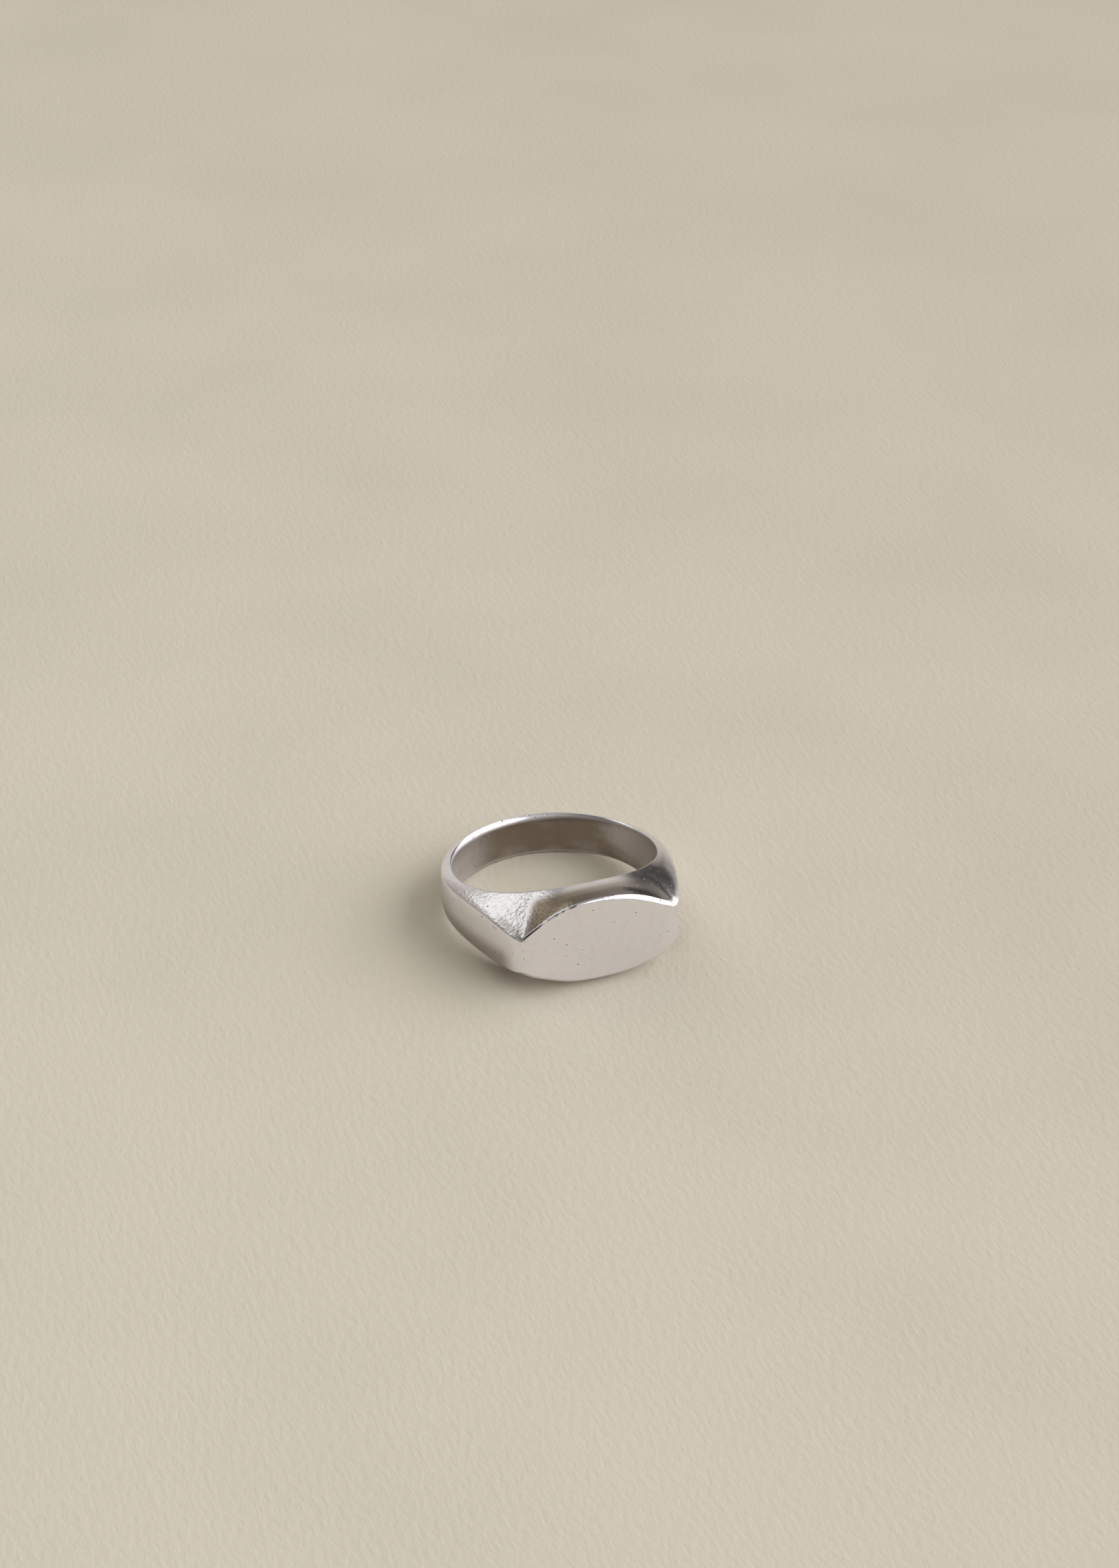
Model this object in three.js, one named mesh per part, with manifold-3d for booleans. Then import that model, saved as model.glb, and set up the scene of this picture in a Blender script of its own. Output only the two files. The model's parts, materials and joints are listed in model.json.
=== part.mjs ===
// A signet ring in sterling silver, as a bench jeweller fabricates it: a head block with a flat
// seal plate on it, a shoulder on each side, and a D-section shank in two halves. Hard solder
// fills the seams. It lies on its side, as it rests on a table, with its seal face turned to -Y.
//
// Every piece is a stretch of one ring body. The body is described by its cross-section at an
// angle round the finger hole: 0 at the middle of the head, 180 degrees at the back of the shank.
import * as THREE from 'three';
import { mergeVertices } from 'three/addons/utils/BufferGeometryUtils.js';
import Module from 'manifold-3d';

// Driving dimensions, in millimetres and degrees.

// Finger hole: a circle, flattened where it passes under the head.
const HOLE_RADIUS = 8.65;
const HOLE_FLATTENING = 0.75;
const HOLE_FLATTENING_POWER = 6.3;

// Edge of the finger hole: half the width of the ring there, at the back and at the head.
const BACK_HALF_WIDTH = 1.91;
const HEAD_HALF_WIDTH = 3.94;
const WIDTH_POWER = 2.56;

// Seal face: a barrel outline with blunt ends, on a plane in front of the finger. Its lower
// edge is filed a little fuller than its upper one.
const FACE_DISTANCE = 10.75;
const FACE_HALF_LENGTH = 6.45;
const FACE_HALF_WIDTH = 3.73;
const FACE_END_HALF_WIDTH = 1.53;
const FACE_UPPER_POWER = 2.36;
const FACE_LOWER_POWER = 2.7;
const FACE_BEVEL = 0.22;

// Band: its thickness at mid-width and at its edge, and how it swells into the shoulders.
const BAND_THICKNESS = 1.02;
const EDGE_THICKNESS = 0.71;
const SHOULDER_RISE = 5.65;
const SHOULDER_POWER = 7.6;
const FACE_BLEND = 1.6;

// Side facets: above, the shoulders slope in from the hole's edge to meet the face. The left one
// meets it at a sharp corner; the right one is filed less deep and softer. Below, the band swells
// a little at the shoulders and runs softly into the face.
const LEFT_FACET_SLOPE = 0.64;
const LEFT_FACET_BLEND = 0.2;
const RIGHT_FACET_SLOPE = 0.5;
const RIGHT_FACET_BLEND = 1.2;
const LOWER_HALF_WIDTH = 1.8;
const LOWER_SWELL = 9;
const LOWER_BLEND = 1.6;

// Joints: where the pieces meet, and the solder between them.
const HEAD_JOINT = 34;
const SHANK_JOINT = 96;
const BACK_JOINT = 180;
const PLATE_THICKNESS = 1.2;
const SOLDER_THICKNESS = 0.06;
const SOLDER_CLEARANCE = 0.02;

// Fineness of the facets.
const ANGLE_STEP = 3;
const CROWN_STEPS = 8;

const radians = THREE.MathUtils.degToRad;

// ---------------------------------------------------------------- the ring body

// The smaller of two lengths, with a rounded change-over of the given size.
function softMin(a, b, size) {
  const near = Math.max(size - Math.abs(a - b), 0) / size;
  return Math.min(a, b) - near * near * size / 4;
}

function softMax(a, b, size) {
  return -softMin(-a, -b, size);
}

// 1 at the middle of the head, falling to 0 at the back.
function headShare(angle) {
  return (1 + Math.cos(angle)) / 2;
}

function holeRadius(angle) {
  return HOLE_RADIUS - HOLE_FLATTENING * headShare(angle) ** HOLE_FLATTENING_POWER;
}

function holeHalfWidth(angle) {
  return BACK_HALF_WIDTH + (HEAD_HALF_WIDTH - BACK_HALF_WIDTH) * headShare(angle) ** WIDTH_POWER;
}

// Distance from the hole's axis to the seal face's plane, which never meets the back half.
function facePlaneRadius(angle) {
  return Math.cos(angle) > 0.15 ? FACE_DISTANCE / Math.cos(angle) : Infinity;
}

// Radius of the outer surface at mid-width: the seal face, running into the shoulder and band.
function crownRadius(angle) {
  const band = HOLE_RADIUS + BAND_THICKNESS + SHOULDER_RISE * headShare(angle) ** SHOULDER_POWER;
  const face = facePlaneRadius(angle);
  return Number.isFinite(face) ? softMin(face, band, FACE_BLEND) : band;
}

// 0 where the crown is the flat seal face, 1 where it is the rounded band.
function roundness(angle) {
  const share = (facePlaneRadius(angle) - crownRadius(angle)) / FACE_BEVEL / 5;
  return THREE.MathUtils.smoothstep(share, 0, 1);
}

// Radius of the crown's edges: the rounded band is thinner there than at mid-width.
function ridgeRadius(angle) {
  return crownRadius(angle) - roundness(angle) * (BAND_THICKNESS - EDGE_THICKNESS);
}

// Half-width of the seal face's outline, carried on past its ends.
function faceHalfWidth(angle, power) {
  const along = Math.cos(angle) > 0.3 ? FACE_DISTANCE * Math.abs(Math.tan(angle)) / FACE_HALF_LENGTH : 2;
  return FACE_HALF_WIDTH - (FACE_HALF_WIDTH - FACE_END_HALF_WIDTH) * Math.min(along, 2) ** power;
}

// 0 on the left of the head, 1 on its right.
function rightShare(angle) {
  return THREE.MathUtils.smoothstep(angle, radians(-15), radians(15));
}

function upperHalfWidth(angle) {
  const slope = THREE.MathUtils.lerp(LEFT_FACET_SLOPE, RIGHT_FACET_SLOPE, rightShare(angle));
  const blend = THREE.MathUtils.lerp(LEFT_FACET_BLEND, RIGHT_FACET_BLEND, rightShare(angle));
  const lean = slope * headShare(angle) * (ridgeRadius(angle) - holeRadius(angle));
  return softMax(faceHalfWidth(angle, FACE_UPPER_POWER), holeHalfWidth(angle) - lean, blend);
}

function lowerHalfWidth(angle) {
  const band = LOWER_HALF_WIDTH + LOWER_SWELL * headShare(angle) ** 6 * (1 - headShare(angle));
  return softMax(faceHalfWidth(angle, FACE_LOWER_POWER), band, LOWER_BLEND);
}

// One cross-section as [radius, width] points, round from the hole's lower edge to its upper edge.
function section(angle) {
  const hole = holeRadius(angle);
  const holeWidth = holeHalfWidth(angle);
  const crown = crownRadius(angle);
  const round = roundness(angle);
  const bevel = FACE_BEVEL * (1 - round);
  const drop = round * (BAND_THICKNESS - EDGE_THICKNESS) + bevel;
  const edge = crown - drop;
  const points = [[hole, -holeWidth]];
  for (let step = 0; step <= CROWN_STEPS; step += 1) {
    const turn = Math.PI * (step / CROWN_STEPS - 0.5);
    const across = Math.sin(turn);
    const isCorner = step === 0 || step === CROWN_STEPS;
    const crownWidth = across < 0 ? lowerHalfWidth(angle) : upperHalfWidth(angle);
    const flat = isCorner ? edge : crown;
    const radius = THREE.MathUtils.lerp(flat, edge + drop * Math.cos(turn), round);
    const width = isCorner ? crownWidth * across : (crownWidth - bevel) * flatSpread(across, round);
    points.push([radius, width]);
  }
  points.push([hole, holeWidth]);
  return points;
}

// Spreads the crown's points evenly over a flat face, or by their angle over a rounded band.
function flatSpread(across, round) {
  const reach = Math.sin(Math.PI * (0.5 - 1 / CROWN_STEPS));
  return THREE.MathUtils.lerp(across / reach, across, round);
}

function atAngle(angle, [radius, width]) {
  return [radius * Math.sin(angle), -radius * Math.cos(angle), width];
}

// A closed solid of the ring body between two angles, in degrees.
function ringStretch(fromDegrees, toDegrees) {
  const steps = Math.max(1, Math.ceil((toDegrees - fromDegrees) / ANGLE_STEP));
  const positions = [];
  const indices = [];
  let count = 0;
  for (let step = 0; step <= steps; step += 1) {
    const angle = radians(THREE.MathUtils.lerp(fromDegrees, toDegrees, step / steps));
    const points = section(angle);
    count = points.length;
    points.forEach((point) => positions.push(...atAngle(angle, point)));
  }
  for (let step = 0; step < steps; step += 1) {
    for (let at = 0; at < count; at += 1) {
      const a = step * count + at;
      const b = step * count + (at + 1) % count;
      indices.push(a, a + count, b, b, a + count, b + count);
    }
  }
  const firstCap = section(radians(fromDegrees)).map(([x, y]) => new THREE.Vector2(x, y));
  const lastCap = section(radians(toDegrees)).map(([x, y]) => new THREE.Vector2(x, y));
  const last = steps * count;
  THREE.ShapeUtils.triangulateShape(firstCap, []).forEach(([a, b, c]) => indices.push(a, b, c));
  THREE.ShapeUtils.triangulateShape(lastCap, []).forEach(([a, b, c]) => {
    indices.push(last + a, last + c, last + b);
  });
  const geometry = new THREE.BufferGeometry();
  geometry.setAttribute('position', new THREE.Float32BufferAttribute(positions, 3));
  geometry.setIndex(indices);
  return geometry;
}

// ---------------------------------------------------------------- cutting

const wasm = await Module();
wasm.setup();

function toSolid(geometry) {
  const bare = geometry.clone();
  bare.deleteAttribute('normal');
  bare.deleteAttribute('uv');
  const merged = mergeVertices(bare);
  return new wasm.Manifold(new wasm.Mesh({
    numProp: 3,
    vertProperties: new Float32Array(merged.attributes.position.array),
    triVerts: new Uint32Array(merged.index.array),
  }));
}

function toGeometry(solid) {
  const mesh = solid.getMesh();
  const geometry = new THREE.BufferGeometry();
  geometry.setAttribute('position', new THREE.Float32BufferAttribute(mesh.vertProperties, 3));
  geometry.setIndex([...mesh.triVerts]);
  return geometry;
}

// Keeps the layer of a solid that lies between two distances in front of the finger hole's axis.
function layer(geometry, nearDistance, farDistance) {
  const reach = 4 * HOLE_RADIUS;
  const slab = new THREE.BoxGeometry(reach, farDistance - nearDistance, reach);
  slab.translate(0, -(nearDistance + farDistance) / 2, 0);
  return toGeometry(toSolid(geometry).intersect(toSolid(slab)));
}

// ---------------------------------------------------------------- the pieces

const silver = { color: 0xcfcbc4, metalness: 1, roughness: 0.3 };
const solderSilver = { color: 0xc4c0b8, metalness: 1, roughness: 0.38 };

// The angle that a length takes up at the middle of the band.
const bandAngle = (length) => THREE.MathUtils.radToDeg(length / (HOLE_RADIUS + BAND_THICKNESS / 2));
const halfJoint = bandAngle(SOLDER_THICKNESS / 2 + SOLDER_CLEARANCE);
const halfSolder = bandAngle(SOLDER_THICKNESS / 2);

const ring = new THREE.Group();

function addPiece(name, geometry, finish) {
  const mesh = new THREE.Mesh(geometry, new THREE.MeshStandardMaterial(finish));
  geometry.computeVertexNormals();
  mesh.name = name;
  ring.add(mesh);
}

function addStretch(name, fromDegrees, toDegrees) {
  addPiece(name, ringStretch(fromDegrees + halfJoint, toDegrees - halfJoint), silver);
}

function addRadialSolder(name, degrees) {
  addPiece(name, ringStretch(degrees - halfSolder, degrees + halfSolder), solderSilver);
}

function addHead() {
  const head = ringStretch(-HEAD_JOINT + halfJoint, HEAD_JOINT - halfJoint);
  const seam = FACE_DISTANCE - PLATE_THICKNESS;
  const halfGap = SOLDER_THICKNESS / 2 + SOLDER_CLEARANCE;
  addPiece('head_block', layer(head, 0, seam - halfGap), silver);
  addPiece('seal_plate', layer(head, seam + halfGap, 2 * FACE_DISTANCE), silver);
  const solder = layer(head, seam - SOLDER_THICKNESS / 2, seam + SOLDER_THICKNESS / 2);
  addPiece('plate_solder', solder, solderSilver);
}

addHead();
addStretch('right_shoulder', HEAD_JOINT, SHANK_JOINT);
addStretch('left_shoulder', -SHANK_JOINT, -HEAD_JOINT);
addStretch('right_shank', SHANK_JOINT, BACK_JOINT);
addStretch('left_shank', -BACK_JOINT, -SHANK_JOINT);
addRadialSolder('right_head_solder', HEAD_JOINT);
addRadialSolder('left_head_solder', -HEAD_JOINT);
addRadialSolder('right_shank_solder', SHANK_JOINT);
addRadialSolder('left_shank_solder', -SHANK_JOINT);
addRadialSolder('back_solder', BACK_JOINT);

// ---------------------------------------------------------------- at rest on a table

// The wide head and the narrow back both touch the table, so the ring leans back a little.
const leanRise = HEAD_HALF_WIDTH - BACK_HALF_WIDTH;
const leanRun = holeRadius(0) + HOLE_RADIUS;
ring.rotation.x = -Math.atan2(leanRise, leanRun);

const model = new THREE.Group();
model.add(ring);
model.updateMatrixWorld(true);
const box = new THREE.Box3().setFromObject(model, true);
const middle = box.getCenter(new THREE.Vector3());
ring.position.set(-middle.x, -middle.y, -box.min.z);

export default model;
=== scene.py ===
"""A worn silver signet ring on pale paper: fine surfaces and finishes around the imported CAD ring."""
import json
import math

import bpy
import numpy as np
from mathutils import Matrix, Vector, noise


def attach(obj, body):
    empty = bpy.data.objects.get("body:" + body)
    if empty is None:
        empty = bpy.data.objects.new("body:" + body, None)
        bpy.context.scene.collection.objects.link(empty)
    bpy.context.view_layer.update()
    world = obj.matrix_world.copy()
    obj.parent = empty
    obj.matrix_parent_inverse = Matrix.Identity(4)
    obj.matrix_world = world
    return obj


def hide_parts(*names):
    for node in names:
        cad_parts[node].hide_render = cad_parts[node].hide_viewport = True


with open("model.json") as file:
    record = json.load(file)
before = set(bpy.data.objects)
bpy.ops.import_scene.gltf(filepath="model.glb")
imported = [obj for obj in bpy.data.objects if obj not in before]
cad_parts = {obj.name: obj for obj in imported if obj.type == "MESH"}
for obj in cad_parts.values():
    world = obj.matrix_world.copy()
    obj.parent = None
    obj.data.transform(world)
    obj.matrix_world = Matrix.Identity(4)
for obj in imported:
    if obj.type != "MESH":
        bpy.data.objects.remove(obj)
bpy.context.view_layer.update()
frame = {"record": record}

MM = 0.001

# The ring's unevenness is random, but the same in every run.
UNEVENNESS_SEED = 4
noise.seed_set(UNEVENNESS_SEED)

# ------------------------------------------------------------------ the ring's own frame
# The hole's axis is the ring's Z, the seal face looks along the ring's -Y, and angles run round
# the hole from 0 at the middle of the head to 180 degrees at the back. The record's mounts place it.
mounts = {mount["name"]: mount for mount in frame["record"]["mounts"]}
hole_centre = Vector(mounts["finger"]["pos_m"])
hole_axis = Vector(mounts["finger"]["axis"]).normalized()
across = Vector((1, 0, 0))
ring_frame = Matrix((across, hole_axis.cross(across), hole_axis)).transposed()


def ring_point(x, y, z):
    """A point given in the ring's frame in millimetres, as a row-frame point in metres."""
    return hole_centre + ring_frame @ Vector((x, y, z)) * MM


# ------------------------------------------------------------------ sizes, in millimetres
# These repeat the CAD's driving dimensions. A pair is for the left and the right of the head.
HOLE_RADIUS = 8.65
HOLE_FLATTENING = 0.75
HOLE_FLATTENING_POWER = 6.3
BACK_HALF_WIDTH = 1.91
HEAD_HALF_WIDTH = 3.94
WIDTH_POWER = 2.56
FACE_DISTANCE = 10.75
FACE_HALF_LENGTH = 6.45
FACE_HALF_WIDTH = 3.73
FACE_END_HALF_WIDTH = 1.53
FACE_UPPER_POWER = 2.36
FACE_LOWER_POWER = 2.7
BAND_THICKNESS = 1.02
EDGE_THICKNESS = 0.71
SHOULDER_RISE = 5.65
SHOULDER_POWER = 7.6
FACE_BLEND = 1.6
ROUNDING_DEPTH = 1.1
FACET_SLOPE = (0.64, 0.5)
FACET_BLEND = (0.2, 1.2)
LOWER_HALF_WIDTH = 1.8
LOWER_SWELL = 9
LOWER_SWELL_POWER = 6
LOWER_BLEND = 1.6
HEAD_JOINT = 34
SHANK_JOINT = 96
BACK_JOINT = 180
PLATE_THICKNESS = 1.2
HALF_SEAM = 0.05

# How worn each edge is: the width of its bevel, and how softly the bevel's own edges are rounded.
HEAD_EDGE_ROUNDING = 0.17
BACK_EDGE_ROUNDING = 0.6
FACE_CHAMFER = (0.04, 0.3)
SHOULDER_CHAMFER = (0.34, 0.95)
BACK_CHAMFER = 0.2
HEAD_LOWER_CHAMFER = 0.25
BAND_LOWER_CHAMFER = 0.9
FACE_SOFTNESS = 0.09
SHOULDER_SOFTNESS = 0.55
BACK_SOFTNESS = 0.15

# How full each surface is: the band's crown, the corner between shoulder and head, and the head's
# wall, whose swelling reaches from the middle to these angles.
CROWN_FULLNESS = 0.8
VALLEY_BLEND = (0.6, 2.2)
WALL_BELLY = (1.0, 0.6)
BELLY_FULL = 12
BELLY_GONE = (25, 30)

# Casting and filing leave the surface uneven: waves in a millimetre, and their height.
BROAD_WAVES, BROAD_HEIGHT = 0.45, 0.025
CLOSE_WAVES, CLOSE_HEIGHT = 1.6, 0.003

# How fine the mesh is: degrees along the ring, and points across each stretch of its section.
ANGLE_STEP = 0.5
HOLE_STEPS = 12
HOLE_EDGE_STEPS = 8
WALL_STEPS = 30
RIDGE_STEPS = 7
CROWN_STEPS = 26
BLOCK_WALL_STEPS = 20
PLATE_WALL_STEPS = 12
SEAM_STEPS = 3
SHARP_ANGLE = 35


def soft_min(a, b, size):
    """The smaller of two arrays, with a rounded change-over of the given size."""
    near = np.clip(size - np.abs(a - b), 0, None) / size
    return np.minimum(a, b) - near * near * size / 4


def soft_max(a, b, size):
    return -soft_min(-a, -b, size)


def smooth(value):
    value = np.clip(value, 0, 1)
    return value * value * (3 - 2 * value)


def fade(value, start, end):
    """0 where the value is at start, 1 where it is at end, and a smooth change between them."""
    return smooth((value - start) / (end - start))


def mix(a, b, share):
    return a + (b - a) * share


def head_share(angle):
    """1 at the middle of the head, falling to 0 at the back."""
    return (1 + np.cos(angle)) / 2


def hole_radius(angle):
    return HOLE_RADIUS - HOLE_FLATTENING * head_share(angle) ** HOLE_FLATTENING_POWER


def hole_half_width(angle):
    return mix(BACK_HALF_WIDTH, HEAD_HALF_WIDTH, head_share(angle) ** WIDTH_POWER)


def face_plane_radius(angle):
    """Distance to the seal face's plane, which never meets the back half."""
    facing = np.cos(angle)
    return np.where(facing > 0.15, FACE_DISTANCE / np.maximum(facing, 0.15), 1e3)


def crown_radius(angle):
    """Radius of the outer surface at mid-width: the seal face, running into the shoulder and band."""
    band = HOLE_RADIUS + BAND_THICKNESS + SHOULDER_RISE * head_share(angle) ** SHOULDER_POWER
    return soft_min(face_plane_radius(angle), band, FACE_BLEND)


def roundness(angle):
    """0 where the crown is the flat seal face, 1 where it is the rounded band."""
    return fade(face_plane_radius(angle) - crown_radius(angle), 0, ROUNDING_DEPTH)


def ridge_radius(angle):
    """Radius of the crown's edges: the rounded band is thinner there than at mid-width."""
    return crown_radius(angle) - roundness(angle) * (BAND_THICKNESS - EDGE_THICKNESS)


def face_half_width(angle, power):
    """Half-width of the seal face's outline, carried on past its ends."""
    along = FACE_DISTANCE * np.abs(np.tan(angle)) / FACE_HALF_LENGTH
    along = np.where(np.cos(angle) > 0.3, np.minimum(along, 2), 2)
    return FACE_HALF_WIDTH - (FACE_HALF_WIDTH - FACE_END_HALF_WIDTH) * along ** power


def right_share(angle):
    """0 on the left of the head, 1 on its right."""
    return fade(np.degrees(angle), -15, 15)


def left_to_right(pair, angle):
    """The value of a left and right pair at each angle."""
    return mix(*pair, right_share(angle))


def upper_half_width(angle, blend=FACET_BLEND):
    face = face_half_width(angle, FACE_UPPER_POWER)
    slope = left_to_right(FACET_SLOPE, angle)
    lean = slope * head_share(angle) * (ridge_radius(angle) - hole_radius(angle))
    return soft_max(face, hole_half_width(angle) - lean, left_to_right(blend, angle))


def lower_half_width(angle):
    share = head_share(angle)
    band = LOWER_HALF_WIDTH + LOWER_SWELL * share ** LOWER_SWELL_POWER * (1 - share)
    return soft_max(face_half_width(angle, FACE_LOWER_POWER), band, LOWER_BLEND)


# ------------------------------------------------------------------ cross-sections

def points(radius, width):
    """One point of the cross-section at each angle, as its radius and its place across the band."""
    return np.stack(np.broadcast_arrays(radius, width), -1)


def towards(start, end, distance, most=0.48):
    """The points at a distance from start on the way to end, but no more than that share of it."""
    way = end - start
    length = np.linalg.norm(way, axis=-1, keepdims=True)
    return start + way * np.minimum(np.reshape(distance, (-1, 1)) / length, most)


def line(start, end, steps):
    share = np.linspace(0, 1, steps)[None, :, None]
    return start[:, None] + (end - start)[:, None] * share


def bend(start, corner, end, steps):
    """A curve from start to end that rounds off the corner between them."""
    t = np.linspace(0, 1, steps)[None, :, None]
    return (1 - t) ** 2 * start[:, None] + 2 * t * (1 - t) * corner[:, None] + t * t * end[:, None]


def wobble(angle, pitch):
    """A smooth random curve along the ring between -1 and 1, with that pitch in millimetres."""
    return np.array([noise.noise((FACE_DISTANCE * a / pitch, 0.5, pitch)) for a in angle.tolist()])


def shoulder_share(angle):
    """0 at the back, 1 on the shoulders and the head."""
    return fade(head_share(angle), 0, 0.4)


def face_bevel(angle):
    """The bevel along the face's upper edge: ragged on the left, wide and even to the right."""
    degrees = np.degrees(angle)
    width = mix(*FACE_CHAMFER, fade(degrees, -25, 25))
    ragged = mix(1.3, 0.1, fade(degrees, -17, -7)) * wobble(angle, 0.3)
    wavy = 0.12 * wobble(angle, 2.1)
    return width * np.clip(1 + ragged + wavy, 0.2, 3)


def ridge_bevel(angle):
    """The bevel along the upper edge of the shoulders and the shank."""
    left, right = SHOULDER_CHAMFER
    right = mix(FACE_CHAMFER[1], right, fade(np.degrees(angle), 36, 60))
    return mix(BACK_CHAMFER, left_to_right((left, right), angle), shoulder_share(angle))


def edge_wear(angle, lower):
    """The width and the softness of the bevel along the crown's lower or upper edge."""
    if lower:
        chamfer = mix(HEAD_LOWER_CHAMFER, BAND_LOWER_CHAMFER, smooth(2.2 * (1 - head_share(angle))))
        return chamfer, chamfer / 2
    ridge_softness = mix(BACK_SOFTNESS, SHOULDER_SOFTNESS, shoulder_share(angle))
    chamfer = mix(face_bevel(angle), ridge_bevel(angle), roundness(angle))
    return chamfer, mix(FACE_SOFTNESS, ridge_softness, roundness(angle))


def half_section(angle, ridge_half_width, valley, lower):
    """Half of the cross-section at each angle, from the hole to mid-crown, in stretches."""
    hole, crown, share = hole_radius(angle), crown_radius(angle), head_share(angle)
    rim, mid_hole = points(hole, hole_half_width(angle)), points(hole, 0 * hole)
    ridge, middle = points(ridge_radius(angle), ridge_half_width), points(crown, 0 * crown)
    crown_control = points(crown, ridge[:, 1] * CROWN_FULLNESS)

    # The crown's edge is cut by a bevel from low, on the wall, to high, on the crown.
    chamfer, softness = edge_wear(angle, lower)
    inner_crown = mix(crown_control, middle, 0.6 * (1 - roundness(angle))[:, None])
    narrowing = 0.2 * right_share(angle) * shoulder_share(angle) * roundness(angle)
    low = towards(ridge, rim, chamfer)
    high = towards(ridge, inner_crown, chamfer * (1 - narrowing))
    crown_start = towards(high, crown_control, softness)

    # The hole's edge is a round one on the head, and more of a flat one on the shank.
    hole_rounding = mix(BACK_EDGE_ROUNDING, HEAD_EDGE_ROUNDING, fade(share, 0, 0.5))
    hole_end = towards(rim, mid_hole, hole_rounding)
    wall_start = towards(rim, low, hole_rounding, most=0.65)
    wall_end = towards(low, rim, softness, most=0.32)
    flatness = 0.6 * fade(share, 0.7, 0.2)[:, None]
    hole_corner = mix(rim, (hole_end + wall_start) / 2, flatness)

    reach = fade(np.abs(np.degrees(angle)), left_to_right(BELLY_GONE, angle), BELLY_FULL)
    return {
        "hole": line(mid_hole, hole_end, HOLE_STEPS),
        "hole_edge": bend(hole_end, hole_corner, wall_start, HOLE_EDGE_STEPS),
        "wall": (wall_start, wall_end, valley, left_to_right(WALL_BELLY, angle) * reach),
        "ridge": np.concatenate([
            bend(wall_end, low, towards(low, high, softness), RIDGE_STEPS),
            bend(towards(high, low, softness), high, crown_start, RIDGE_STEPS),
        ], 1),
        "crown": bend(crown_start, crown_control, middle, CROWN_STEPS),
    }


def whole_loop(angle, half_loop):
    """A closed cross-section from its upper half and its lower half, turned over."""
    upper_width, lower_width = upper_half_width(angle), lower_half_width(angle)
    valley = upper_half_width(angle, VALLEY_BLEND) - upper_width
    upper = half_loop(angle, half_section(angle, upper_width, valley, False))
    lower = half_loop(angle, half_section(angle, lower_width, 0 * valley, True))
    return np.concatenate([upper, lower[:, ::-1][:, 1:-1] * np.array([1, -1])], 1)


def wall_points(wall, shares):
    """Points on the side wall. It swells a little, and most where the shoulder meets the head,
    but its outer edge keeps the sharp corner there."""
    start, end, valley, belly = wall
    straight = start[:, None] + (end - start)[:, None] * shares[..., None]
    filling = valley[:, None] * shares * (1 - shares ** 2) + belly[:, None] * shares ** 2 * (1 - shares)
    return straight + filling[..., None] * np.array([0, 1])


def band_half(angle, parts):
    shares = np.broadcast_to(np.linspace(0, 1, WALL_STEPS), (len(angle), WALL_STEPS))
    wall = wall_points(parts["wall"], shares)
    stretches = [parts["hole"], parts["hole_edge"][:, 1:], wall[:, 1:],
                 parts["ridge"][:, 1:], parts["crown"][:, 1:]]
    return np.concatenate(stretches, 1)


def seam_share(angle, wall, distance):
    """How far along the wall it meets the plane at that distance in front of the hole's axis."""
    start, end = wall[:2]
    return (distance / np.cos(angle) - start[:, 0]) / (end[:, 0] - start[:, 0])


def spread(low, high, steps):
    return low[:, None] + (high - low)[:, None] * np.linspace(0, 1, steps)


SEAM_DISTANCE = FACE_DISTANCE - PLATE_THICKNESS


def block_half(angle, parts):
    """The head block's half of the section: from the hole up to the plate's seam."""
    top = seam_share(angle, parts["wall"], SEAM_DISTANCE - HALF_SEAM)
    wall = wall_points(parts["wall"], spread(0 * top, top, BLOCK_WALL_STEPS))
    centre = points(wall[:, -1, 0], 0 * angle)
    stretches = [parts["hole"], parts["hole_edge"][:, 1:], wall[:, 1:],
                 line(wall[:, -1], centre, SEAM_STEPS)[:, 1:]]
    return np.concatenate(stretches, 1)


def plate_half(angle, parts):
    """The seal plate's half of the section: from its seam out to the face."""
    bottom = seam_share(angle, parts["wall"], SEAM_DISTANCE + HALF_SEAM)
    wall = wall_points(parts["wall"], spread(bottom, 0 * bottom + 1, PLATE_WALL_STEPS))
    centre = points(wall[:, 0, 0], 0 * angle)
    stretches = [line(centre, wall[:, 0], SEAM_STEPS), wall[:, 1:],
                 parts["ridge"][:, 1:], parts["crown"][:, 1:]]
    return np.concatenate(stretches, 1)


def plate_solder_half(angle, parts):
    bottom = seam_share(angle, parts["wall"], SEAM_DISTANCE - HALF_SEAM)
    top = seam_share(angle, parts["wall"], SEAM_DISTANCE + HALF_SEAM)
    wall = wall_points(parts["wall"], spread(bottom, top, SEAM_STEPS))
    inner = points(wall[:, 0, 0], 0 * angle)
    outer = points(wall[:, -1, 0], 0 * angle)
    stretches = [line(inner, wall[:, 0], SEAM_STEPS), wall[:, 1:],
                 line(wall[:, -1], outer, SEAM_STEPS)[:, 1:]]
    return np.concatenate(stretches, 1)


# ------------------------------------------------------------------ wear, tarnish, painted shade and a painted dark reflection
# Stretches of the ring in degrees: where each one begins, is full, starts to fade and is gone.
LEFT_SHOULDER = (-100, -65, -30, -12)
LEFT_NOTCH = (-50, -42, -36, -33)
HEAD_WALL = (-35, -28, 20, 50)
RIGHT_FACET = (30, 36, 55, 75)

# How strong each mark is, from 0 to 1, and how much less the hole is darkened on its left. The underside,
# notch and facet marks are painted shade, and the wall's mark is patina with painted shade.
CROWN_GRAIN, RIGHT_GRAIN, LEFT_GRAIN = 0.02, 0.004, 0.5
UNDERSIDE_PAINTED_SHADE = 0.65
WALL_PATINA_AND_PAINTED_SHADE = (0.93, 0.55)
NOTCH_PAINTED_SHADE = 0.45
FACET_PAINTED_SHADE = 0.3
BROKEN_LINE = 0.8
HOLE_DARKENING_GONE = 0.45


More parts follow.
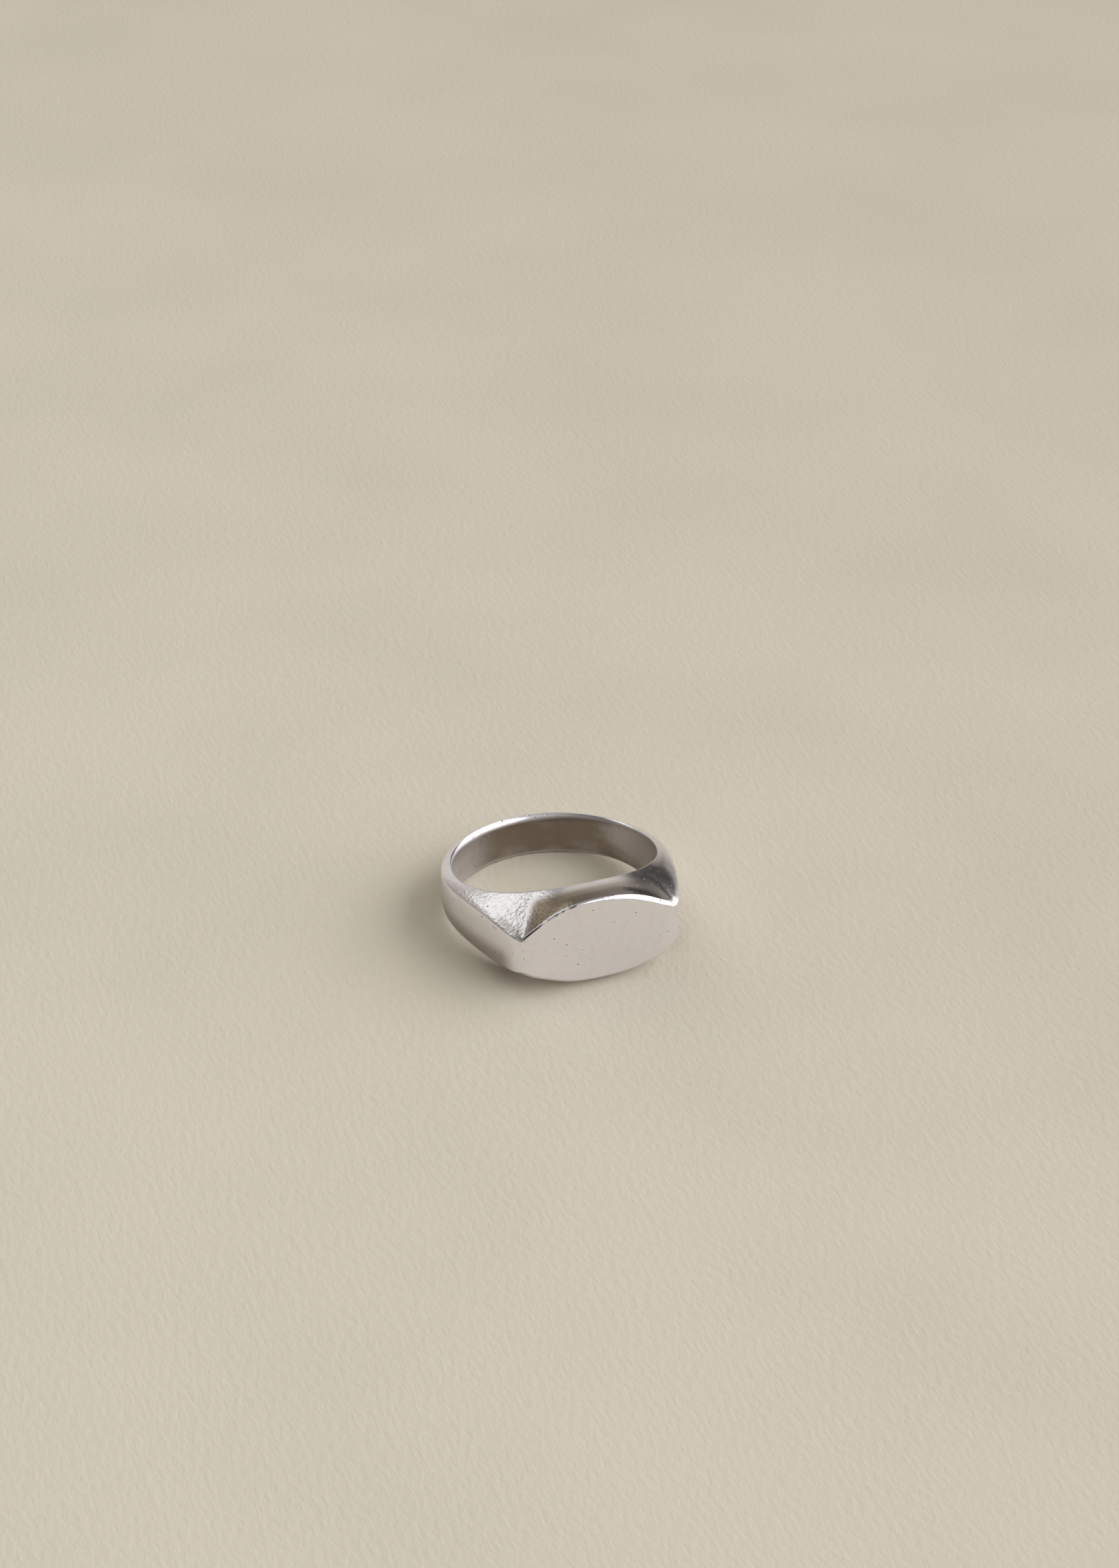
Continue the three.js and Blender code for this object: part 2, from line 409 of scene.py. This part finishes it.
def stretch(degrees, begin, full, fading, gone):
    """1 on that stretch of the ring, 0 off it."""
    return fade(degrees, begin, full) * fade(degrees, gone, fading)


def patina_and_painted_shade_above(degrees, height, depth):
    """Painted shade on the head's wall, over its patina, in the notch at its left end, and on the right
    shoulder's facet.
    """
    strength = mix(*WALL_PATINA_AND_PAINTED_SHADE, fade(degrees, -25, 25))
    wall = strength * stretch(degrees, *HEAD_WALL) * fade(height, 0.3, 1.5) * fade(depth, 0.15, 0.3)
    notch = NOTCH_PAINTED_SHADE * stretch(degrees, *LEFT_NOTCH) * fade(np.abs(depth - 0.25), 0.45, 0.15)
    facet = FACET_PAINTED_SHADE * stretch(degrees, *RIGHT_FACET) * fade(height, 0.2, 0.7) * fade(depth, 0.5, 0.9)
    return np.maximum(np.maximum(wall, notch), facet)


def painted_reflection_line(angle, inset, depth):
    """A painted dark reflection: the black line under the left end of the face's upper edge, broken up
    further along.
    """
    degrees = np.degrees(angle)[:, None]
    crevice = fade(np.abs(inset - 0.02), 0.156, 0.036) * fade(depth, 0.156, 0.036)
    broken = BROKEN_LINE * fade(wobble(angle, 0.37)[:, None], -0.12, 0.28) * fade(degrees, -4, -10)
    return crevice * fade(degrees, -33.5, -32) * np.maximum(fade(degrees, -25, -27), broken)


def zones(angle, radius, width):
    """How much each point is the hole's wall, darkened in the hole, grainy, tarnished with painted shade,
    or under a painted dark reflection.
    """
    degrees = np.degrees(angle)[:, None]
    height = radius - hole_radius(angle)[:, None]
    depth = ridge_radius(angle)[:, None] - radius
    inset = upper_half_width(angle)[:, None] - width
    above = width > 0
    bore = fade(height, 0.2, 0)
    facet = fade(depth, -0.4, 0) * (1 - bore)
    facet_grain = mix(RIGHT_GRAIN, LEFT_GRAIN, stretch(degrees, *LEFT_SHOULDER))
    # The band's lower side, made darker and browner as painted shade.
    underside = fade(width, 0.2, -1.4) * fade(np.abs(degrees), 36, 44) * (1 - bore)
    return {
        "bore": bore,
        # Darker and browner in the hole, less so on its left.
        "hole_darkening": bore * (1 - HOLE_DARKENING_GONE * fade(np.abs(degrees + 125), 42, 12)),
        "grain": mix(CROWN_GRAIN, facet_grain, facet),
        # Tarnish with painted shade: the band's underside, the head's wall, its notch and the right facet.
        "tarnish_and_painted_shade": np.maximum(UNDERSIDE_PAINTED_SHADE * underside, patina_and_painted_shade_above(degrees, height, depth) * above),
        # A painted dark reflection along the left of the face's upper edge.
        "painted_dark_reflection": painted_reflection_line(angle, inset, depth) * above,
    }


# ------------------------------------------------------------------ meshes

def uneven(point):
    """Moves a point of the ring a few hundredths of a millimetre, as casting and filing leave it."""
    broad = noise.noise_vector(point * BROAD_WAVES)
    close = noise.noise_vector(point * CLOSE_WAVES)
    return point + broad * BROAD_HEIGHT + close * CLOSE_HEIGHT


def build_piece(node, half_loop, from_degrees, to_degrees, slot):
    """The fine piece that replaces a CAD node: that cross-section, closed off at two angles."""
    name = node + "_fine"
    steps = max(2, round((to_degrees - from_degrees) / ANGLE_STEP))
    angle = np.radians(np.linspace(from_degrees, to_degrees, steps + 1))
    section = whole_loop(angle, half_loop)
    rows, columns = section.shape[:2]
    radius, width = section[..., 0], section[..., 1]
    place = np.stack([radius * np.sin(angle)[:, None], -radius * np.cos(angle)[:, None], width], -1)
    vertices = [ring_point(*uneven(Vector(p))) for p in place.reshape(-1, 3).tolist()]
    faces = []
    for row in range(rows - 1):
        for column in range(columns):
            a = row * columns + column
            b = row * columns + (column + 1) % columns
            faces.append((a, b, b + columns, a + columns))
    faces.append(tuple(range(columns))[::-1])
    faces.append(tuple((rows - 1) * columns + column for column in range(columns)))
    mesh = bpy.data.meshes.new(name)
    mesh.from_pydata(vertices, [], faces)
    for zone, share in zones(angle, radius, width).items():
        attribute = mesh.attributes.new(zone, "FLOAT", "POINT")
        attribute.data.foreach_set("value", share.astype(np.float32).ravel())
    mesh.validate()
    mesh.shade_smooth()
    mesh.set_sharp_from_angle(angle=math.radians(SHARP_ANGLE))
    piece = bpy.data.objects.new(name, mesh)
    bpy.context.scene.collection.objects.link(piece)
    piece.data.materials.append(materials[slot])
    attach(piece, "root")
    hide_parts(node)


# ------------------------------------------------------------------ materials

class Nodes:
    """Adds nodes to a material: each call returns the new node's output."""

    def __init__(self, material):
        material.use_nodes = True
        self.tree = material.node_tree
        self.shader = self.tree.nodes["Principled BSDF"]

    def put(self, socket, value):
        if isinstance(value, bpy.types.NodeSocket):
            self.tree.links.new(value, socket)
        else:
            socket.default_value = value

    def add(self, kind, inputs, output=0, **settings):
        node = self.tree.nodes.new(kind)
        for name, value in settings.items():
            setattr(node, name, value)
        for name, value in inputs.items():
            self.put(node.inputs[name], value)
        return node.outputs[output]

    def math(self, operation, *values):
        return self.add("ShaderNodeMath", dict(enumerate(values)), operation=operation)

    def ramp(self, value, low, high, out_low=0, out_high=1):
        ends = {"Value": value, "From Min": low, "From Max": high, "To Min": out_low, "To Max": out_high}
        return self.add("ShaderNodeMapRange", ends, interpolation_type="SMOOTHSTEP")

    def mix(self, share, a, b):
        return self.add("ShaderNodeMix", {"Factor": share, "A": a, "B": b}, 2, data_type="RGBA")

    def millimetres(self, stretch=(1, 1, 1)):
        place = self.add("ShaderNodeTexCoord", {}, 3)
        scale = tuple(share / MM for share in stretch)
        return self.add("ShaderNodeMapping", {"Vector": place, "Scale": scale})

    def noise(self, place, scale, detail):
        return self.add("ShaderNodeTexNoise", {"Vector": place, "Scale": scale, "Detail": detail})

    def zone(self, name):
        return self.add("ShaderNodeAttribute", {}, 2, attribute_name=name)

    def relief(self, height, depth):
        """Bumps of that height, where a height of 1 stands out by the depth in millimetres."""
        bump = self.add("ShaderNodeBump", {"Height": height, "Strength": 1, "Distance": depth * MM})
        self.put(self.shader.inputs["Normal"], bump)


# One brown for tarnish and for painted shade alike.
TARNISH_AND_SHADE = (0.24, 0.187, 0.13)
# Near black for the painted dark reflection under the face's left edge.
PAINTED_REFLECTION_BLACK = (0.02, 0.018, 0.016)
# The paper's colour on the left and on the right is a painted light falloff, lighter on the left and darker
# on the right, over that reach in millimetres. PAPER_SHADE is the darker tone of its own mottle.
PAPER_LEFT_PAINTED_LIGHT = (0.93, 0.88, 0.765)
PAPER_RIGHT_PAINTED_SHADE = (0.745, 0.685, 0.57)
PAPER_SHADE = (0.3, 0.3, 0.25)
PAINTED_FALLOFF_REACH = 170


def silver_material(name, metal, roughness):
    """Worn cast silver: fine grain, pits, scratches and tarnish, with painted shade and a painted dark
    reflection in its colour.
    """
    material = bpy.data.materials.new(name)
    make = Nodes(material)
    place = make.millimetres()
    blotches = make.noise(place, scale=1.7, detail=3)
    spots = make.add("ShaderNodeTexVoronoi", {"Vector": place, "Scale": 1.6})
    crowding = make.noise(place, scale=0.8, detail=1)
    pit_size = make.ramp(crowding, 0.35, 0.65, 0.03, 0.15)
    pits = make.math("SUBTRACT", 1, make.ramp(make.math("DIVIDE", spots, pit_size), 0.5, 1.1))

    # Colour: darker and browner in the hole, faint stains, dark pits, tarnish with painted shade, and a
    # painted dark reflection over all of them.
    clouds = make.noise(make.millimetres((1, 1, 2.2)), scale=0.16, detail=2)
    film = make.math("MULTIPLY_ADD", blotches, 0.12, clouds)
    # The hole made darker and browner, unevenly.
    hole_darkening = make.math("MULTIPLY", make.zone("hole_darkening"), make.ramp(film, 0.38, 0.7, 0.5, 0.89))
    stain_and_shade = make.math("MAXIMUM", hole_darkening, make.ramp(blotches, 0.45, 0.8, 0, 0.07))
    stain_and_shade = make.math("MAXIMUM", stain_and_shade, make.math("MULTIPLY", pits, 0.75))
    # Painted shade on the underside, the notch and the facet, and patina with painted shade on the head's
    # wall.
    stain_and_shade = make.math("MAXIMUM", stain_and_shade, make.zone("tarnish_and_painted_shade"))
    colour = make.mix(stain_and_shade, (*metal, 1), (*TARNISH_AND_SHADE, 1))
    # The painted dark reflection line goes over everything.
    make.put(make.shader.inputs["Base Color"], make.mix(make.zone("painted_dark_reflection"), colour, (*PAINTED_REFLECTION_BLACK, 1)))
    make.shader.inputs["Metallic"].default_value = 1

    # Gloss: a little uneven, and duller in the hole and in the pits.
    worn = make.ramp(blotches, 0.3, 0.7, roughness - 0.01, roughness + 0.012)
    rough = make.math("MULTIPLY_ADD", make.zone("bore"), 0.2, worn)
    make.put(make.shader.inputs["Roughness"], make.math("MULTIPLY_ADD", pits, 0.2, rough))

    # Relief: cast dimples where it is grainy, a fine tooth everywhere, pits and scratches.
    grain = make.zone("grain")
    dimples = make.noise(place, scale=3.4, detail=2)
    tooth = make.noise(place, scale=9, detail=3)
    scratches = make.ramp(make.noise(make.millimetres((0.35, 1, 6)), scale=3.5, detail=1), 0.73, 0.78)
    height = make.math("MULTIPLY", dimples, grain)
    height = make.math("MULTIPLY_ADD", tooth, make.math("MULTIPLY_ADD", grain, 0.1, 0.013), height)
    height = make.math("MULTIPLY_ADD", pits, -0.3, height)
    height = make.math("MULTIPLY_ADD", scratches, -0.07, height)
    make.relief(height, depth=0.11)
    return material


materials = {
    "silver": silver_material("silver", metal=(0.9, 0.885, 0.965), roughness=0.23),
    "solder": silver_material("solder", metal=(0.89, 0.875, 0.945), roughness=0.25),
}


def paper_material():
    """Pale paper: short fibres, a soft mottle, and painted light falloff, lighter on the left and darker
    towards the right.
    """
    material = bpy.data.materials.new("paper")
    make = Nodes(material)
    fibres = make.noise(make.millimetres((2.2, 1, 1)), scale=0.9, detail=3)
    tooth = make.noise(make.millimetres(), scale=2.6, detail=2)
    mottle = make.noise(make.millimetres(), scale=0.035, detail=2)
    shade = make.math("MULTIPLY_ADD", fibres, 0.3, mottle)
    sideways = make.add("ShaderNodeSeparateXYZ", {"Vector": make.millimetres()}, "X")
    # Painted light falloff across the paper.
    painted_falloff = make.ramp(sideways, -PAINTED_FALLOFF_REACH, PAINTED_FALLOFF_REACH)
    paper = make.mix(painted_falloff, (*PAPER_LEFT_PAINTED_LIGHT, 1), (*PAPER_RIGHT_PAINTED_SHADE, 1))
    shaded = make.mix(make.ramp(shade, 0.4, 0.95, 0, 0.09), paper, (*PAPER_SHADE, 1))
    make.put(make.shader.inputs["Base Color"], shaded)
    make.shader.inputs["Roughness"].default_value = 0.85
    make.relief(make.math("MULTIPLY_ADD", tooth, 0.35, fibres), depth=0.06)
    return material


# ------------------------------------------------------------------ the ring's pieces

SEAM_ANGLE = math.degrees(HALF_SEAM / (HOLE_RADIUS + BAND_THICKNESS / 2))


def build_ring():
    head = HEAD_JOINT - SEAM_ANGLE
    build_piece("head_block", block_half, -head, head, "silver")
    build_piece("seal_plate", plate_half, -head, head, "silver")
    build_piece("plate_solder", plate_solder_half, -head, head, "solder")
    stretches = {"right_shoulder": (HEAD_JOINT, SHANK_JOINT), "right_shank": (SHANK_JOINT, BACK_JOINT),
                 "left_shoulder": (-SHANK_JOINT, -HEAD_JOINT), "left_shank": (-BACK_JOINT, -SHANK_JOINT)}
    for node, (start, end) in stretches.items():
        build_piece(node, band_half, start + SEAM_ANGLE, end - SEAM_ANGLE, "silver")
    seams = {"right_head_solder": HEAD_JOINT, "left_head_solder": -HEAD_JOINT,
             "right_shank_solder": SHANK_JOINT, "left_shank_solder": -SHANK_JOINT,
             "back_solder": BACK_JOINT}
    for node, joint in seams.items():
        build_piece(node, band_half, joint - SEAM_ANGLE, joint + SEAM_ANGLE, "solder")


build_ring()

# ------------------------------------------------------------------ camera

# Its direction from the ring in degrees and its distance in millimetres, in the ring's own frame,
# and how far right of the hole's centre and above it the camera aims.
CAMERA_AZIMUTH = -19.73
CAMERA_ELEVATION = 26.65
CAMERA_ROLL = -1.69
CAMERA_DISTANCE = 260
AIM_RIGHT = 0.336
AIM_ABOVE = 8.224
LENS = 70.61


def place_camera():
    """Looks at the ring as a person at the table does."""
    azimuth, elevation, roll = map(math.radians, (CAMERA_AZIMUTH, CAMERA_ELEVATION, CAMERA_ROLL))
    right = Vector((math.cos(azimuth), math.sin(azimuth), 0))
    back = Vector((math.sin(azimuth) * math.cos(elevation),
                   -math.cos(azimuth) * math.cos(elevation), math.sin(elevation)))
    up = back.cross(right)
    right, up = (right * math.cos(roll) + up * math.sin(roll), up * math.cos(roll) - right * math.sin(roll))
    aim = right * AIM_RIGHT + up * AIM_ABOVE
    camera = bpy.data.objects.new("camera", bpy.data.cameras.new("camera"))
    bpy.context.scene.collection.objects.link(camera)
    camera.data.lens = LENS
    camera.data.clip_start = 0.01
    camera.data.clip_end = 10
    axes = Matrix([ring_frame @ axis for axis in (right, up, back)]).transposed()
    camera.matrix_world = Matrix.Translation(ring_point(*(aim + back * CAMERA_DISTANCE))) @ axes.to_4x4()
    bpy.context.scene.camera = camera


place_camera()

# ------------------------------------------------------------------ floor and light

FLOOR_REACH = 1.5


def build_floor():
    mesh = bpy.data.meshes.new("floor")
    corners = [(-1, -1), (1, -1), (1, 1), (-1, 1)]
    mesh.from_pydata([(x * FLOOR_REACH, y * FLOOR_REACH, 0) for x, y in corners], [], [(0, 1, 2, 3)])
    floor = bpy.data.objects.new("floor", mesh)
    bpy.context.scene.collection.objects.link(floor)
    floor.data.materials.append(paper_material())


build_floor()


def heading(azimuth, elevation):
    """A direction from the ring: azimuth 0 is in front of the seal face, 90 is to its right."""
    azimuth, elevation = math.radians(azimuth), math.radians(elevation)
    return Vector((math.sin(azimuth) * math.cos(elevation),
                   -math.cos(azimuth) * math.cos(elevation), math.sin(elevation)))


# The room around the table: azimuth, elevation, the angles from the middle where a patch is
# full and gone, and its colour.
ROOM = (
    ("ceiling", 20, 45, 20, 36, (0.5, 0.48, 0.45)),
    ("photographer", -85, 45, 12, 28, (0.15, 0.15, 0.14)),
    ("lit wall", -143, 49, 18, 23, (1.02, 1.01, 0.93)),
    ("back of the room", 172, 8, 20, 30, (0.64, 0.6, 0.52)),
    ("side wall", 100, 10, 12, 22, (1.0, 0.98, 0.95)),
    ("dim corner", 131, 22, 9, 14, (0.01, 0.01, 0.01)),
    ("dim front", -36, 6, 12, 22, (0.03, 0.03, 0.03)),
)
ROOM_COLOUR = (0.34, 0.31, 0.27)


def build_world():
    world = bpy.data.worlds.new("studio")
    bpy.context.scene.world = world
    world.use_nodes = True
    nodes, links = world.node_tree.nodes, world.node_tree.links
    direction = nodes.new("ShaderNodeTexCoord").outputs["Generated"]
    colour = None
    for name, azimuth, elevation, full, gone, tint in ROOM:
        closeness = nodes.new("ShaderNodeVectorMath")
        closeness.operation = "DOT_PRODUCT"
        closeness.inputs[1].default_value = heading(azimuth, elevation)
        links.new(direction, closeness.inputs[0])
        share = nodes.new("ShaderNodeMapRange")
        share.interpolation_type = "SMOOTHSTEP"
        share.inputs["From Min"].default_value = math.cos(math.radians(gone))
        share.inputs["From Max"].default_value = math.cos(math.radians(full))
        links.new(closeness.outputs["Value"], share.inputs["Value"])
        blend = nodes.new("ShaderNodeMix")
        blend.data_type = "RGBA"
        blend.label = name
        blend.inputs["B"].default_value = (*tint, 1)
        links.new(share.outputs["Result"], blend.inputs["Factor"])
        if colour is None:
            blend.inputs["A"].default_value = (*ROOM_COLOUR, 1)
        else:
            links.new(colour, blend.inputs["A"])
        colour = blend.outputs["Result"]
    links.new(colour, nodes["Background"].inputs["Color"])


build_world()


def add_window(name, azimuth, elevation, distance, size, radiance):
    """A rectangular light that faces the ring, with sizes in metres."""
    light = bpy.data.lights.new(name, "AREA")
    light.shape = "RECTANGLE"
    light.size, light.size_y = size
    light.energy = radiance * math.pi * size[0] * size[1]
    lamp = bpy.data.objects.new(name, light)
    bpy.context.scene.collection.objects.link(lamp)
    lamp.location = heading(azimuth, elevation) * distance
    lamp.rotation_euler = lamp.location.to_track_quat("Z", "Y").to_euler()


add_window("window", azimuth=67, elevation=36, distance=1.2, size=(1.7, 0.95), radiance=2.1)
bpy.context.scene.view_settings.view_transform = "Standard"
